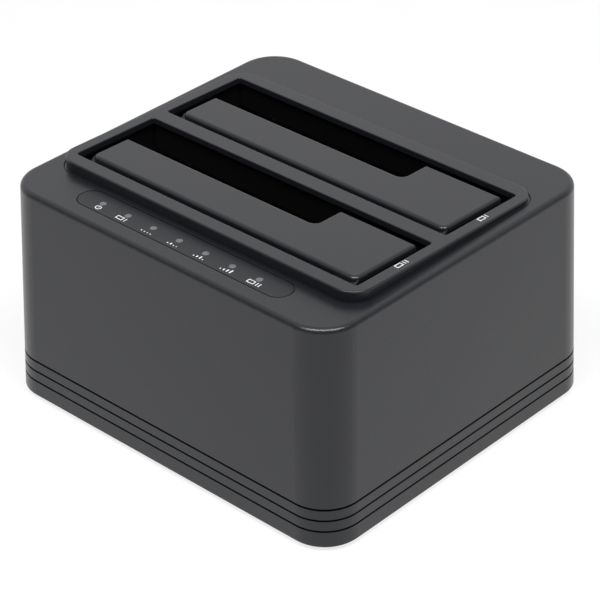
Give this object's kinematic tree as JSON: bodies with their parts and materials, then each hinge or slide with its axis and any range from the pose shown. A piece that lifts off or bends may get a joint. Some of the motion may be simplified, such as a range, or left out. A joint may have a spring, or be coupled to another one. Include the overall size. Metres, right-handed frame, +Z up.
{
  "type": "hard drive docking station",
  "caption": "Open-top docking station that holds bare hard drives upright behind sprung flaps, with a row of indicator lights and rear power and data ports.",
  "frame": {"origin": "centre of the rectangular footprint at the table plane, under the rubber feet", "axes": "+X to the right along the front, +Y to the back where the ports are, +Z up"},
  "size_m": [0.13, 0.1197, 0.0741],
  "materials": {
    "shell_plastic": "fine even grain, satin",
    "bezel_plastic": "satin",
    "flap_plastic": "satin",
    "strip_plastic": "smooth satin",
    "light_guide": "frosted clear",
    "black_plastic": "matt moulded",
    "rubber": "matt",
    "black_steel": "black oxide",
    "pin_steel": "drawn",
    "screw_steel": "black zinc",
    "circuit_board": "solder resist",
    "chip_epoxy": "matt moulded",
    "can_metal": "drawn can",
    "sink_metal": "anodised",
    "ferrite": "pressed ferrite",
    "contact_metal": "gold plated",
    "shell_metal": "nickel plated",
    "ribbon_film": "laminated film",
    "header_plastic": "moulded",
    "lamp_lens": "clear epoxy",
    "socket_blue": "moulded"
  },
  "bodies": {
    "housing": {"base_cover": "shell_plastic", "upper_housing": "shell_plastic", "rubber_feet": "rubber", "top_bezel": "bezel_plastic", "drive_cage": "black_plastic", "hinge_pins_front": "pin_steel", "hinge_pins_rear": "pin_steel", "flap_spring_front_left": "black_steel", "flap_spring_front_right": "black_steel", "flap_spring_rear_left": "black_steel", "flap_spring_rear_right": "black_steel", "drive_socket_front": "black_plastic", "drive_socket_rear": "black_plastic", "socket_contacts_front": "contact_metal", "socket_contacts_rear": "contact_metal", "indicator_strip": "strip_plastic", "light_pipes": "light_guide", "lamp_board": "circuit_board", "lamps": "lamp_lens", "lamp_header": "header_plastic", "board_header": "header_plastic", "lamp_ribbon": "ribbon_film", "main_board": "circuit_board", "bridge_chip": "chip_epoxy", "clone_chip": "chip_epoxy", "memory_chip": "chip_epoxy", "crystal": "can_metal", "regulator": "chip_epoxy", "inductors": "ferrite", "capacitors": "can_metal", "heat_sink": "sink_metal", "usb_shell": "shell_metal", "usb_tongue": "socket_blue", "jack_body": "black_plastic", "jack_pin": "shell_metal", "key_switch": "black_plastic", "switch_body": "black_plastic", "switch_tabs": "shell_metal", "housing_screws": "screw_steel", "board_screws": "screw_steel", "cage_screws": "screw_steel", "lamp_board_screws": "screw_steel"},
    "front_flap": {"flap_front": "flap_plastic"},
    "rear_flap": {"flap_rear": "flap_plastic"},
    "button": {"clone_button": "black_plastic"},
    "rocker": {"power_rocker": "black_plastic"}
  },
  "joints": [
    {"name": "front_flap_hinge", "type": "hinge", "parent": "housing", "child": "front_flap", "pos_m": [0, -0.0336, 0.07022], "axis": [-1, 0, 0], "range_deg": [0, 88], "stiffness_Nm_per_rad": 0.005, "springref_deg": -34.38},
    {"name": "rear_flap_hinge", "type": "hinge", "parent": "housing", "child": "rear_flap", "pos_m": [0, 0.00345, 0.0692], "axis": [-1, 0, 0], "range_deg": [0, 88], "stiffness_Nm_per_rad": 0.005, "springref_deg": -34.38},
    {"name": "clone_button_press", "type": "slide", "parent": "housing", "child": "button", "axis": [0, -1, 0], "range_m": [0, 0.0008], "stiffness_N_per_m": 800, "springref_m": -0.001},
    {"name": "power_rocker_tilt", "type": "hinge", "parent": "housing", "child": "rocker", "pos_m": [-0.034, 0.05816, 0.027], "axis": [-1, 0, 0], "range_deg": [0, 18]}
  ]
}
